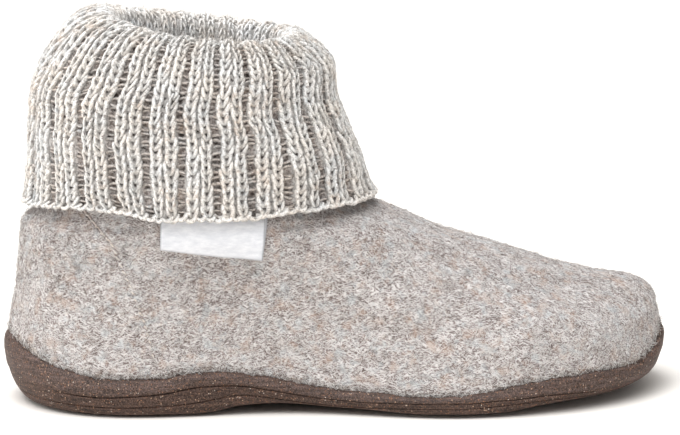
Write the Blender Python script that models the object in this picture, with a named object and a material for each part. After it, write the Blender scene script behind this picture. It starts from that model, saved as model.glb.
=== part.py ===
"""Slipper boot for the right foot, standing empty on its sole.

Metres, +Z up, toe towards +X, outer side of the foot towards -Y.
The felt upper is a loft of slanted rings round the last. The cup sole, the insole and the side tab
are worked from the same rings. The rib-knit cuff is a folded loft of its own rings.
"""
import math

import bmesh
import bpy
import numpy as np

# Driving sizes, mm
MM = 0.001
LENGTH = 264.0          # sole, heel back to toe tip
CENTRE_Y = 0.0          # middle of the widest width
GAP = 0.3               # air between pieces that lie on each other
FELT_WALL = 3.0
LIP_WALL = 1.7          # rubber outside the felt at the lip
STEP_OUT = 0.5          # how far each side step of the sole stands out
STEP_LEDGE = 0.02       # height of a step's ledge as a share of the side
LOW_STEP = 0.4          # height of the lower step as a share of the upper one's
LIP_ROUND = 0.05        # height of the lip's rounded edge as a share of the side
INSOLE_THICK = 4.0
ROUND_POINTS = 48       # points round the last
TOE_TURN = 0.5          # share of the length behind which the last runs straight

# Stations along a ring where its half widths are given, 0 at the heel back and 1 at the toe
HEEL, WAIST, BALL, NOSE = 0.04, 0.42, 0.68, 0.96
STATIONS = (HEEL, WAIST, BALL, NOSE)

# Heights of the cup sole along its length, the share of its side height where the upper step runs,
# and how far the tread edge is tucked in under the side
SOLE_COLUMNS = ("station", "tread", "seat", "lip", "step", "tuck")
SOLE_LINES = (
    (0.00, 0.0, 9.5, 28.0, 0.50, 11.0),
    (0.04, 0.0, 9.5, 22.1, 0.51, 9.0),
    (0.09, 0.0, 9.5, 17.9, 0.53, 6.0),
    (0.15, 0.0, 9.5, 15.7, 0.57, 3.5),
    (0.22, 0.0, 9.5, 16.1, 0.63, 2.8),
    (0.28, 0.0, 9.6, 17.9, 0.70, 2.8),
    (0.31, 0.8, 9.8, 18.0, 0.69, 2.9),
    (0.34, 2.4, 9.9, 17.4, 0.68, 3.0),
    (0.39, 3.0, 9.3, 15.0, 0.62, 3.0),
    (0.46, 2.0, 7.7, 11.4, 0.56, 3.0),
    (0.54, 0.9, 6.3, 9.6, 0.54, 2.0),
    (0.62, 0.0, 5.7, 8.7, 0.61, 1.2),
    (0.68, 0.0, 5.7, 9.1, 0.61, 1.2),
    (0.74, 0.4, 6.1, 11.8, 0.55, 1.6),
    (0.80, 2.2, 7.0, 13.8, 0.47, 3.5),
    (0.87, 3.2, 8.3, 14.8, 0.38, 6.0),
    (0.93, 3.8, 9.8, 14.9, 0.34, 8.5),
    (0.97, 4.2, 11.2, 16.6, 0.34, 10.0),
    (1.00, 4.4, 12.6, 24.6, 0.34, 11.0),
)

# Rings of the felt round the last: the sole line that each follows and how far, where it meets the
# heel and the vamp ridge, the inward turn of its toe, and its half widths at the four stations
UPPER_COLUMNS = ("line", "follow", "back_x", "back_z", "front_x", "front_z", "front_y",
                 "heel", "waist_out", "waist_in", "ball_out", "ball_in", "nose")
UPPER_RINGS = (
    ("seat", 1.0, 6.6, 9.5, 256.4, 12.6, 9.0, 20.0, 31.5, 24.0, 44.0, 39.5, 22.0),
    ("lip", 1.0, 1.9, 28.0, 262.0, 24.6, 9.0, 23.2, 35.0, 28.0, 48.5, 43.5, 26.0),
    ("lip", 0.75, 3.0, 41.5, 261.2, 34.5, 9.0, 23.2, 35.5, 29.5, 47.3, 43.0, 25.0),
    ("lip", 0.5, 3.9, 47.5, 258.4, 39.6, 9.0, 22.8, 35.0, 30.0, 44.5, 41.0, 22.0),
    ("lip", 0.3, 4.3, 51.5, 252.0, 43.5, 8.0, 22.4, 34.5, 30.5, 41.8, 39.0, 17.5),
    ("lip", 0.15, 4.7, 56.0, 237.0, 47.0, 6.5, 21.6, 34.0, 31.0, 39.0, 37.0, 15.0),
    ("lip", 0.0, 5.2, 61.5, 212.0, 53.2, 4.5, 20.6, 34.0, 32.0, 36.5, 35.0, 16.5),
    ("lip", 0.0, 5.7, 67.0, 188.0, 61.8, 2.5, 19.2, 35.0, 34.0, 35.0, 34.0, 16.5),
    ("lip", 0.0, 6.3, 71.5, 166.0, 69.8, 1.0, 17.5, 37.0, 36.0, 35.5, 35.0, 16.0),
    ("lip", 0.0, 7.0, 75.6, 151.8, 77.4, 0.0, 15.8, 37.7, 37.3, 36.0, 35.6, 15.0),
    ("lip", 0.0, 11.4, 79.4, 142.6, 80.6, 0.0, 14.6, 37.4, 37.2, 35.4, 35.2, 14.5),
    ("lip", 0.0, 15.4, 99.0, 132.6, 100.0, 0.0, 13.6, 34.4, 34.4, 32.4, 32.4, 13.6),
)
UPPER_LEVELS = (0, 0.5, 1, 1.5, 2, 2.5, 3, 3.5, 4, 4.5, 5, 5.5, 6, 7, 8, 9, 9.5, 10, 11)
SEAT_LEVEL, INSOLE_LEVEL, LIP_LEVEL = 0, 0.12, 1

# Grooves across the tread
GROOVE_WIDE = 2.4
GROOVE_DEEP = 1.4
GROOVE_LONG = 200.0             # longer than the tread is wide
GROOVE_PITCH = 9.0
HEEL_GROOVES = (26.0, 5)        # first groove from the heel back, and how many
BALL_GROOVES = (148.0, 7)

# Rings of the folded cuff from the hem up the outside, over the rim and down to the felt topline.
# Wave is the share of the hem's own wave that the ring takes
CUFF_COLUMNS = ("back_x", "back_z", "front_x", "front_z", "sag", "wave", "half", "wall")
CUFF_RINGS = (
    (7.4, 78.8, 148.3, 81.7, 0.0, 1.0, 42.4, 2.2),
    (8.2, 84.0, 146.0, 86.6, 0.0, 0.7, 42.9, 3.0),
    (9.4, 97.0, 141.8, 98.5, 0.0, 0.0, 42.8, 3.6),
    (10.2, 112.0, 136.8, 111.5, 0.0, 0.0, 41.8, 3.8),
    (10.8, 124.0, 132.8, 123.5, 0.0, 0.0, 40.4, 3.8),
    (13.8, 133.5, 131.0, 133.5, 0.0, 0.0, 38.2, 3.8),
    (20.6, 145.6, 127.0, 140.8, -1.5, 0.0, 35.0, 3.8),
    (28.6, 154.6, 123.2, 145.3, -2.8, 0.0, 32.0, 3.8),
    (36.6, 157.9, 118.6, 147.3, -3.6, 0.0, 28.6, 3.8),
    (43.0, 155.4, 113.6, 145.2, -3.2, 0.0, 25.4, 3.8),
    (44.5, 147.0, 111.8, 139.0, -2.0, 0.0, 24.6, 3.8),
    (36.0, 128.0, 118.0, 124.0, 0.0, 0.0, 27.6, 3.8),
    (23.0, 110.0, 126.5, 110.0, 0.0, 0.0, 31.0, 3.6),
    (18.4, 99.3, 129.6, 100.3, 0.0, 0.0, 32.0, 3.0),
)
# Lift of the hem at stations from the heel back to the front
HEM_WAVE = (
    (0.00, 1.8),
    (0.07, 3.2),
    (0.18, 3.8),
    (0.27, 2.8),
    (0.37, 0.0),
    (0.60, -0.6),
    (0.75, 0.4),
    (1.00, 0.4),
)
RIBS = 24                           # round the cuff
RIB_STEPS = (-1.3, 0.0, 0.3, 0.0)   # heights across one rib, starting in the gap
RIB_PHASE = -0.5                    # in points, so that the gaps lie where they show
NUDGE = 0.02                        # share of a level used to find a ring's slope
EVEN_POINTS = 720                   # points of a ring before they are spaced evenly

# Folded side tab on the outer side
TAB_LEFT, TAB_RIGHT = 60.5, 101.0   # from the heel back
TAB_TOP = 82.5
TAB_FOLD_LEFT, TAB_FOLD_RIGHT = 66.9, 63.0
TAB_CLOTH = 0.45
TAB_OPEN = 0.25                     # air between its two leaves
TAB_COLUMNS = 9
TAB_LEAF = (1.0, 0.84, 0.68, 0.52, 0.36, 0.2, 0.05)    # heights up each leaf as shares of it

FELT_COLOUR = (0.54, 0.49, 0.465)
KNIT_COLOUR = (0.60, 0.57, 0.54)
RUBBER_COLOUR = (0.105, 0.072, 0.06)
TAB_COLOUR = (0.80, 0.80, 0.82)
WOOL_ROUGH, RUBBER_ROUGH, TAB_ROUGH = 0.95, 0.6, 0.8


def smooth(knots, values, at):
    """Curve through the values that never swings past them; values may be points or whole rings."""
    knots = np.asarray(knots, float)
    values = np.asarray(values, float)
    column = (-1,) + (1,) * (values.ndim - 1)
    step = np.diff(knots).reshape(column)
    slope = np.diff(values, axis=0) / step
    before, after = slope[:-1], slope[1:]
    heavy = 2 * step[1:] + step[:-1]
    light = step[1:] + 2 * step[:-1]
    same = before * after > 0
    blend = heavy * np.where(same, after, 1) + light * np.where(same, before, 1)
    inner = np.where(same, (heavy + light) * before * after / blend, 0)
    lean = np.concatenate([slope[:1], inner, slope[-1:]])
    at = np.asarray(at, float)
    low = np.clip(np.searchsorted(knots, at) - 1, 0, len(knots) - 2)
    span = np.diff(knots)[low]
    share = np.clip((at - knots[low]) / span, 0, 1)
    if at.ndim == 0:
        span, share = float(span), float(share)
    rise = share * share * (3 - 2 * share)
    return (values[low] * (1 - rise) + values[low + 1] * rise
            + lean[low] * span * share * (1 - share) ** 2
            - lean[low + 1] * span * share ** 2 * (1 - share))


def named(columns, row):
    return dict(zip(columns, row))


def sole_line(name, station):
    column = SOLE_COLUMNS.index(name)
    return smooth([row[0] for row in SOLE_LINES], [row[column] for row in SOLE_LINES], station)


def turns(count):
    """Share of the length at each point round a ring, heel first, outer side then inner side."""
    angle = np.arange(count) * 2 * math.pi / count
    return (1 - np.cos(angle)) / 2, np.where(angle < math.pi, -1.0, 1.0), np.abs(np.sin(angle))


def upper_ring(row, count):
    """One table row of the felt as a ring of points."""
    size = named(UPPER_COLUMNS, row)
    along, side, bulge = turns(count)
    fullness = 2 * np.sqrt(np.array(STATIONS) * (1 - np.array(STATIONS)))
    outer = np.array([size["heel"], size["waist_out"], size["ball_out"], size["nose"]]) / fullness
    inner = np.array([size["heel"], size["waist_in"], size["ball_in"], size["nose"]]) / fullness
    half = bulge * np.where(side < 0, smooth(STATIONS, outer, along), smooth(STATIONS, inner, along))
    turn_in = size["front_y"] * np.clip((along - TOE_TURN) / (1 - TOE_TURN), 0, 1) ** 2
    x = size["back_x"] + (size["front_x"] - size["back_x"]) * along
    z = size["back_z"] + (size["front_z"] - size["back_z"]) * along
    chord = sole_line(size["line"], 0.0) * (1 - along) + sole_line(size["line"], 1.0) * along
    z = z + size["follow"] * (sole_line(size["line"], along) - chord)
    return np.stack([x, side * half + turn_in, z], axis=1)


def cuff_ring(row, count):
    """One table row of the cuff as a ring of points evenly spaced round it."""
    size = named(CUFF_COLUMNS, row)
    along, side, bulge = turns(EVEN_POINTS)
    x = size["back_x"] + (size["front_x"] - size["back_x"]) * along
    z = size["back_z"] + (size["front_z"] - size["back_z"]) * along + size["sag"] * bulge
    stations, lifts = zip(*HEM_WAVE)
    z = z + size["wave"] * smooth(stations, lifts, along)
    ring = np.stack([x, side * bulge * size["half"], z], axis=1)
    closed = np.concatenate([ring, ring[:1]])
    run = np.concatenate([[0], np.cumsum(np.linalg.norm(np.diff(closed, axis=0), axis=1))])
    wanted = run[-1] * ((np.arange(count) + RIB_PHASE) / count % 1.0)
    return np.stack([np.interp(wanted, run, closed[:, axis]) for axis in range(3)], axis=1)


def outward(rings, level, nudge=NUDGE):
    """Unit directions square to a stack of rings at one level, pointing away from the inside."""
    levels = np.arange(len(rings))
    here = smooth(levels, rings, level)
    up = (smooth(levels, rings, min(level + nudge, len(rings) - 1))
          - smooth(levels, rings, max(level - nudge, 0)))
    around = np.roll(here, -1, axis=0) - np.roll(here, 1, axis=0)
    square = np.cross(around, up)
    return square / np.linalg.norm(square, axis=1, keepdims=True)


def offset_ring(rings, level, out=0.0):
    return smooth(np.arange(len(rings)), rings, level) + out * outward(rings, level)


LAST = np.array([upper_ring(row, ROUND_POINTS) for row in UPPER_RINGS])


def on_outer_side(x, z, out):
    """Point off the outer side of the felt at a distance along the shoe and a height."""
    halves = [offset_ring(LAST, level, out)[: ROUND_POINTS // 2 + 1] for level in UPPER_LEVELS]
    heights = [np.interp(x, half[:, 0], half[:, 2]) for half in halves]
    reach = [np.interp(x, half[:, 0], half[:, 1]) for half in halves]
    return np.array([x, np.interp(z, heights, reach), z])


def material(name, colour, roughness):
    shade = bpy.data.materials.new(name)
    shade.use_nodes = True
    surface = shade.node_tree.nodes["Principled BSDF"]
    surface.inputs["Base Color"].default_value = (*colour, 1.0)
    surface.inputs["Roughness"].default_value = roughness
    surface.inputs["Metallic"].default_value = 0.0
    return shade


def loft(name, rings, shade, joined):
    """Solid skinned over rings: joined runs the last ring on to the first, else both ends are capped."""
    mesh = bmesh.new()
    shift = np.array([LENGTH / 2, CENTRE_Y, 0.0])
    rows = [[mesh.verts.new((point - shift) * MM) for point in ring] for ring in rings]
    count = len(rows[0])
    pairs = list(zip(rows, rows[1:] + rows[:1]))
    if not joined:
        pairs.pop()
    for low, high in pairs:
        for i in range(count):
            after = (i + 1) % count
            mesh.faces.new((low[i], low[after], high[after], high[i]))
    if not joined:
        for ring in (rows[0], rows[-1]):
            for i in range(count // 2):
                corners = (ring[i], ring[i + 1], ring[(-i - 1) % count], ring[-i % count])
                mesh.faces.new(tuple(dict.fromkeys(corners)))
    bmesh.ops.triangulate(mesh, faces=mesh.faces)
    bmesh.ops.recalc_face_normals(mesh, faces=mesh.faces)
    data = bpy.data.meshes.new(name)
    mesh.to_mesh(data)
    mesh.free()
    piece = bpy.data.objects.new(name, data)
    bpy.context.scene.collection.objects.link(piece)
    data.materials.append(shade)
    return piece


def make_upper():
    outer = [offset_ring(LAST, level) for level in UPPER_LEVELS]
    inner = [offset_ring(LAST, level, -FELT_WALL) for level in reversed(UPPER_LEVELS)]
    return loft("upper", outer + inner, material("felt", FELT_COLOUR, WOOL_ROUGH), joined=True)


def sole_side(share, proud):
    """Ring on the outside of the sole at a share of its side height."""
    along = turns(ROUND_POINTS)[0]
    lip = offset_ring(LAST, LIP_LEVEL)
    square = outward(LAST, LIP_LEVEL)[:, :2]
    square = square / np.linalg.norm(square, axis=1, keepdims=True)
    inset = sole_line("tuck", along) * (1 - np.sqrt(1 - (1 - share) ** 2)) - proud
    flat = lip[:, :2] + square * (GAP + LIP_WALL - inset)[:, None]
    tread = sole_line("tread", along)
    z = tread + share * (sole_line("lip", along) - tread)
    return np.column_stack([flat, z])


def make_sole():
    along = turns(ROUND_POINTS)[0]
    flat = np.zeros(ROUND_POINTS)
    step = sole_line("step", along)
    low_step = step * LOW_STEP
    rings = [
        sole_side(flat, 0.0),
        sole_side(low_step / 2, 0.0),
        sole_side(low_step - STEP_LEDGE, 0.0),
        sole_side(low_step, STEP_OUT),
        sole_side((low_step + step) / 2, STEP_OUT),
        sole_side(step - STEP_LEDGE, STEP_OUT),
        sole_side(step, 2 * STEP_OUT),
        sole_side((1 + step) / 2, 2 * STEP_OUT),
        sole_side(flat + 1 - LIP_ROUND, STEP_OUT),
        sole_side(flat + 1, 0.0),
    ]
    cup_levels = [level for level in reversed(UPPER_LEVELS) if level <= LIP_LEVEL]
    cup = [offset_ring(LAST, level, GAP) for level in cup_levels]
    cup[-1] = cup[-1] - np.array([0.0, 0.0, GAP])
    sole = loft("sole", rings + cup, material("rubber", RUBBER_COLOUR, RUBBER_ROUGH), joined=False)
    cut_grooves(sole)
    return sole


def cut_grooves(sole):
    """Plain grooves across the heel and forefoot treads."""
    cutter = bmesh.new()
    for first, count in (HEEL_GROOVES, BALL_GROOVES):
        for i in range(count):
            centre = ((first + i * GROOVE_PITCH - LENGTH / 2) * MM, 0.0, 0.0)
            bar = bmesh.ops.create_cube(cutter, size=1.0)["verts"]
            bmesh.ops.scale(cutter, verts=bar, vec=(GROOVE_WIDE * MM, GROOVE_LONG * MM, 2 * GROOVE_DEEP * MM))
            bmesh.ops.translate(cutter, verts=bar, vec=centre)
    data = bpy.data.meshes.new("groove_bars")
    cutter.to_mesh(data)
    cutter.free()
    bars = bpy.data.objects.new("groove_bars", data)
    bpy.context.scene.collection.objects.link(bars)
    bars.hide_render = True
    bars.display_type = "WIRE"
    cut = sole.modifiers.new("grooves", "BOOLEAN")
    cut.operation = "DIFFERENCE"
    cut.solver = "EXACT"
    cut.object = bars


def make_insole():
    floor = sole_line("seat", turns(ROUND_POINTS)[0])
    edge = -FELT_WALL - GAP
    corner = offset_ring(LAST, SEAT_LEVEL, edge)
    low = np.column_stack([corner[:, :2], floor])
    high = np.column_stack([offset_ring(LAST, INSOLE_LEVEL, edge)[:, :2], floor + INSOLE_THICK])
    return loft("insole", [low, corner, high], material("insole_felt", FELT_COLOUR, WOOL_ROUGH), joined=False)


def make_cuff():
    count = RIBS * len(RIB_STEPS)
    rings = np.array([cuff_ring(row, count) for row in CUFF_RINGS])
    walls = [named(CUFF_COLUMNS, row)["wall"] for row in CUFF_RINGS]
    ribs = np.tile(RIB_STEPS, RIBS)[:, None]
    levels = range(len(rings))
    shown = [rings[i] + ribs * outward(rings, i) for i in levels]
    hidden = [rings[i] - walls[i] * outward(rings, i) for i in levels]
    return loft("cuff", shown + hidden[::-1], material("knit", KNIT_COLOUR, WOOL_ROUGH), joined=True)


def make_tab():
    """Strip folded once at the bottom, its two leaves caught under the hem."""
    far = GAP + 2 * TAB_CLOTH + TAB_OPEN
    middle = (GAP + far) / 2
    inner_leaf = (GAP, GAP + TAB_CLOTH)
    outer_leaf = (far, far - TAB_CLOTH)
    rings = []
    for i in range(TAB_COLUMNS):
        share = i / (TAB_COLUMNS - 1)
        x = TAB_LEFT + (TAB_RIGHT - TAB_LEFT) * share
        fold = TAB_FOLD_LEFT + (TAB_FOLD_RIGHT - TAB_FOLD_LEFT) * share
        drop = TAB_TOP - fold
        skins = []
        for skin, bend in ((0, 0.0), (1, TAB_CLOTH)):
            down = [on_outer_side(x, fold + bend + drop * leaf, inner_leaf[skin]) for leaf in TAB_LEAF]
            rise = [on_outer_side(x, fold + bend + drop * leaf, outer_leaf[skin]) for leaf in TAB_LEAF[::-1]]
            skins.append(down + [on_outer_side(x, fold + bend, middle)] + rise)
        cut_ends = [(skins[0][end] + skins[1][end]) / 2 for end in (0, -1)]
        rings.append(np.array(cut_ends[:1] + skins[0] + cut_ends[1:] + skins[1][::-1]))
    return loft("side_tab", rings, material("tab_cloth", TAB_COLOUR, TAB_ROUGH), joined=False)


def main():
    for piece in list(bpy.data.objects):
        bpy.data.objects.remove(piece, do_unlink=True)
    make_upper()
    make_sole()
    make_insole()
    make_cuff()
    make_tab()


main()
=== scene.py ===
"""Looks of the slipper boot: felt upper, rib-knit cuff, blank side tab, felt insole and rubber cup sole."""
import math

import bmesh
import bpy
import numpy as np
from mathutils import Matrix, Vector


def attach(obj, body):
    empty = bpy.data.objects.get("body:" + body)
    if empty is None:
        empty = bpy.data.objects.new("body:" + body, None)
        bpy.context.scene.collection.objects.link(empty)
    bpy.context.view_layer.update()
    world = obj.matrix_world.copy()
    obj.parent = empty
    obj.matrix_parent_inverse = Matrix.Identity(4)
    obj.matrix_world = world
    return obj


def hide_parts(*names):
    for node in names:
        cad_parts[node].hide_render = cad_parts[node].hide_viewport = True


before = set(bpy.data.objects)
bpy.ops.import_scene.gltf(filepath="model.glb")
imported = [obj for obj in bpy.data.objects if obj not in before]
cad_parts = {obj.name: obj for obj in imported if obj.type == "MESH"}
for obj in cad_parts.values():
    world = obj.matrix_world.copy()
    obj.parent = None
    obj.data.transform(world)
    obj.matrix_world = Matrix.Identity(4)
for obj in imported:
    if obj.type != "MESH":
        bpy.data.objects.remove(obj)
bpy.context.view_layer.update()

# Sizes of the solids, mm from the heel back; the cuff's front rows lie up to 3 mm further back than theirs
MM = 0.001
LENGTH = 264.0
SHIFT = np.array([LENGTH / 2, 0.0, 0.0])
WELD = 1e-6
GAP = 0.3
FELT_WALL = 3.0
LIP_WALL = 1.7
INSOLE_THICK = 4.0
TOE_TURN = 0.5
STATIONS = (0.04, 0.42, 0.68, 0.96)
SOLE_COLUMNS = ("station", "tread", "seat", "lip", "step", "tuck")
SOLE_LINES = (
    (0.00, 0.0, 9.5, 28.0, 0.50, 11.0),
    (0.04, 0.0, 9.5, 22.1, 0.51, 9.0),
    (0.09, 0.0, 9.5, 17.9, 0.53, 6.0),
    (0.15, 0.0, 9.5, 15.7, 0.57, 3.5),
    (0.22, 0.0, 9.5, 16.1, 0.63, 2.8),
    (0.28, 0.0, 9.6, 17.9, 0.70, 2.8),
    (0.31, 0.8, 9.8, 18.0, 0.69, 2.9),
    (0.34, 2.4, 9.9, 17.4, 0.68, 3.0),
    (0.39, 3.0, 9.3, 15.0, 0.62, 3.0),
    (0.46, 2.0, 7.7, 11.4, 0.56, 3.0),
    (0.54, 0.9, 6.3, 9.6, 0.54, 2.0),
    (0.62, 0.0, 5.7, 8.7, 0.61, 1.2),
    (0.68, 0.0, 5.7, 9.1, 0.61, 1.2),
    (0.74, 0.4, 6.1, 11.8, 0.55, 1.6),
    (0.80, 2.2, 7.0, 13.8, 0.47, 3.5),
    (0.87, 3.2, 8.3, 14.8, 0.38, 6.0),
    (0.93, 3.8, 9.8, 14.9, 0.34, 8.5),
    (0.97, 4.2, 11.2, 16.6, 0.34, 10.0),
    (1.00, 4.4, 12.6, 24.6, 0.34, 11.0),
)
UPPER_COLUMNS = ("line", "follow", "back_x", "back_z", "front_x", "front_z", "front_y",
                 "heel", "waist_out", "waist_in", "ball_out", "ball_in", "nose")
UPPER_RINGS = (
    ("seat", 1.0, 6.6, 9.5, 256.4, 12.6, 9.0, 20.0, 31.5, 24.0, 44.0, 39.5, 22.0),
    ("lip", 1.0, 1.9, 28.0, 262.0, 24.6, 9.0, 23.2, 35.0, 28.0, 48.5, 43.5, 26.0),
    ("lip", 0.75, 3.0, 41.5, 261.2, 34.5, 9.0, 23.2, 35.5, 29.5, 47.3, 43.0, 25.0),
    ("lip", 0.5, 3.9, 47.5, 258.4, 39.6, 9.0, 22.8, 35.0, 30.0, 44.5, 41.0, 22.0),
    ("lip", 0.3, 4.3, 51.5, 252.0, 43.5, 8.0, 22.4, 34.5, 30.5, 41.8, 39.0, 17.5),
    ("lip", 0.15, 4.7, 56.0, 237.0, 47.0, 6.5, 21.6, 34.0, 31.0, 39.0, 37.0, 15.0),
    ("lip", 0.0, 5.2, 61.5, 212.0, 53.2, 4.5, 20.6, 34.0, 32.0, 36.5, 35.0, 16.5),
    ("lip", 0.0, 5.7, 67.0, 188.0, 61.8, 2.5, 19.2, 35.0, 34.0, 35.0, 34.0, 16.5),
    ("lip", 0.0, 6.3, 71.5, 166.0, 69.8, 1.0, 17.5, 37.0, 36.0, 35.5, 35.0, 16.0),
    ("lip", 0.0, 7.0, 75.6, 151.8, 77.4, 0.0, 15.8, 37.7, 37.3, 36.0, 35.6, 15.0),
    ("lip", 0.0, 11.4, 79.4, 142.6, 80.6, 0.0, 14.6, 37.4, 37.2, 35.4, 35.2, 14.5),
    ("lip", 0.0, 15.4, 99.0, 132.6, 100.0, 0.0, 13.6, 34.4, 34.4, 32.4, 32.4, 13.6),
)
SEAT_LEVEL, INSOLE_LEVEL, LIP_LEVEL, TOP_LEVEL = 0.0, 0.12, 1.0, 11.0
CUFF_COLUMNS = ("back_x", "back_z", "front_x", "front_z", "sag", "wave", "half", "wall")
CUFF_RINGS = (
    (7.4, 78.8, 147.4, 81.7, 0.0, 1.0, 42.4, 2.2),
    (8.2, 84.0, 144.6, 86.6, 0.0, 0.7, 42.9, 3.0),
    (9.4, 97.0, 141.0, 98.5, 0.0, 0.0, 42.8, 3.6),
    (10.2, 112.0, 135.9, 111.5, 0.0, 0.0, 41.8, 3.8),
    (10.8, 124.0, 131.7, 123.5, 0.0, 0.0, 40.4, 3.8),
    (13.8, 133.5, 131.0, 133.5, 0.0, 0.0, 38.2, 3.8),
    (20.6, 145.6, 125.9, 140.8, -1.5, 0.0, 35.0, 3.8),
    (28.6, 154.6, 120.4, 145.3, -2.8, 0.0, 32.0, 3.8),
    (36.6, 157.9, 115.8, 148.0, -3.6, 0.0, 28.6, 3.8),
    (43.0, 155.4, 111.4, 146.0, -3.2, 0.0, 25.4, 3.8),
    (44.5, 147.0, 110.4, 139.4, -2.0, 0.0, 24.6, 3.8),
    (36.0, 128.0, 118.0, 124.0, 0.0, 0.0, 27.6, 3.8),
    (23.0, 110.0, 126.5, 110.0, 0.0, 0.0, 31.0, 3.6),
    (18.4, 99.3, 129.6, 100.3, 0.0, 0.0, 32.0, 3.0),
)
HEM_WAVE = ((0.00, 1.8), (0.07, 3.2), (0.18, 3.8), (0.27, 2.8), (0.37, 0.0), (0.60, -0.6), (0.75, 0.4),
            (1.00, 0.4))
RIBS = 24
RIB_PHASE = -0.125              # in ribs, so that the gaps lie as in the photo
GROOVE_WIDE, GROOVE_DEEP, GROOVE_PITCH = 2.4, 1.4, 9.0
GROOVE_RUNS = ((26.0, 5, 36.0), (148.0, 7, 200.0))     # first from the heel back, how many, how long
TAB_LEFT, TAB_RIGHT = 60.5, 101.0
TAB_TOP = 82.5
TAB_FOLD_LEFT, TAB_FOLD_RIGHT = 66.9, 63.0
TAB_CLOTH = 0.35
TAB_WARPS, TAB_WEFTS = 95, 88   # threads of the weave across and along the strip

# Fineness of the dressed pieces
ROUND = 288                     # points round the felt, the sole and the insole
LEVEL_STEPS = 440
FELT_ROWS, LINING_ROWS = 120, 40
CUFF_ROWS, CUFF_ROUND = 200, 480
BACKING_ROWS, BACKING_ROUND = 100, 288

# Knit, mm on a rib of nominal width
RIB_WIDE = 13.7
WALE_WIDE = 5.5
COURSE = 3.3
HEM_BAND = 1.6
RIB_CROWN, RIB_SHOULDER = 2.6, 3.6      # half the crown of a rib, and the slope from it into the gap
RIB_FALL = 1.3
RIB_SPREAD = 0.13               # how much wider the ribs are at the rim, as a share
RIM_RISE = 76.0                 # way up the cuff to its rim
RIM_FIRST, INSIDE_FIRST, LAST_COURSE = 12, 23, 39      # courses where rim and inside begin, and the end
# How far the ribs lean back towards the heel, in ribs: twelve places round from the heel, outer side first,
# at even steps up from the hem
RIB_LEAN = (
    (0.10, 0.20, 0.15, 0.45, 0.58, 0.50, 0.45, 0.40, 0.40, 0.35, 0.25, 0.15),
    (0.10, 0.23, 0.34, 0.41, 0.44, 0.26, 0.25, 0.25, 0.30, 0.30, 0.25, 0.15),
    (0.25, 0.30, 0.31, 0.20, 0.27, 0.25, 0.10, 0.10, 0.20, 0.20, 0.20, 0.20),
    (0.30, 0.26, 0.10, 0.14, 0.16, 0.26, 0.10, 0.10, 0.15, 0.15, 0.15, 0.20),
    (0.20, 0.15, 0.00, 0.02, 0.08, 0.15, 0.00, 0.00, 0.10, 0.10, 0.10, 0.15),
    (0.10, 0.05, 0.00, 0.00, 0.05, 0.05, 0.00, 0.00, 0.00, 0.00, 0.00, 0.05),
    (0.00,) * 12,
)
LEAN_RISE = 90.0

# Soft troughs and ridges of the felt on the outer side: place along and up, slope, length, width, depth
CREASES = (
    (174.0, 47.0, 82.0, 13.0, 4.5, -0.55),
    (168.0, 35.0, 70.0, 12.0, 5.0, -0.40),
    (204.0, 42.0, 85.0, 14.0, 8.0, 0.45),
    (236.0, 34.0, 75.0, 9.0, 5.0, -0.45),
    (84.0, 33.0, 60.0, 18.0, 6.0, -0.50),
    (120.0, 52.0, 40.0, 20.0, 9.0, 0.40),
    (30.0, 50.0, 95.0, 16.0, 7.0, -0.35),
    (150.0, 58.0, 25.0, 18.0, 6.0, -0.40),
)
FELT_SWELL = 0.38
TAB_FADE = 12.0                 # how far round the tab the felt lies calmer
# Seam of the heel quarter: places along and up
SEAM = ((31.0, 80.6), (41.0, 69.6), (48.5, 52.0), (54.0, 37.0), (57.0, 24.0))
random = np.random.default_rng(11)


# Curves, rings and surfaces
def smooth(knots, values, at):
    """Curve through the values that never swings past them; values may be points or whole rings."""
    knots = np.asarray(knots, float)
    values = np.asarray(values, float)
    step = np.diff(knots).reshape((-1,) + (1,) * (values.ndim - 1))
    slope = np.diff(values, axis=0) / step
    before, after = slope[:-1], slope[1:]
    heavy = 2 * step[1:] + step[:-1]
    light = step[1:] + 2 * step[:-1]
    same = before * after > 0
    weight = heavy * np.where(same, after, 1) + light * np.where(same, before, 1)
    inner = np.where(same, (heavy + light) * before * after / weight, 0)
    lean = np.concatenate([slope[:1], inner, slope[-1:]])
    at = np.asarray(at, float)
    low = np.clip(np.searchsorted(knots, at) - 1, 0, len(knots) - 2)
    span = np.diff(knots)[low]
    share = np.clip((at - knots[low]) / span, 0, 1)
    if at.ndim == 0:
        span, share = float(span), float(share)
    rise = share * share * (3 - 2 * share)
    return (values[low] * (1 - rise) + values[low + 1] * rise
            + lean[low] * span * share * (1 - share) ** 2
            - lean[low + 1] * span * share ** 2 * (1 - share))


def sole_line(name, station):
    column = SOLE_COLUMNS.index(name)
    return smooth([row[0] for row in SOLE_LINES], [row[column] for row in SOLE_LINES], station)


def turns(count):
    """Share of the length at each point round a ring, heel first, outer side then inner side."""
    angle = np.arange(count) * 2 * math.pi / count
    return (1 - np.cos(angle)) / 2, np.where(angle < math.pi, -1.0, 1.0), np.abs(np.sin(angle))


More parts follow.
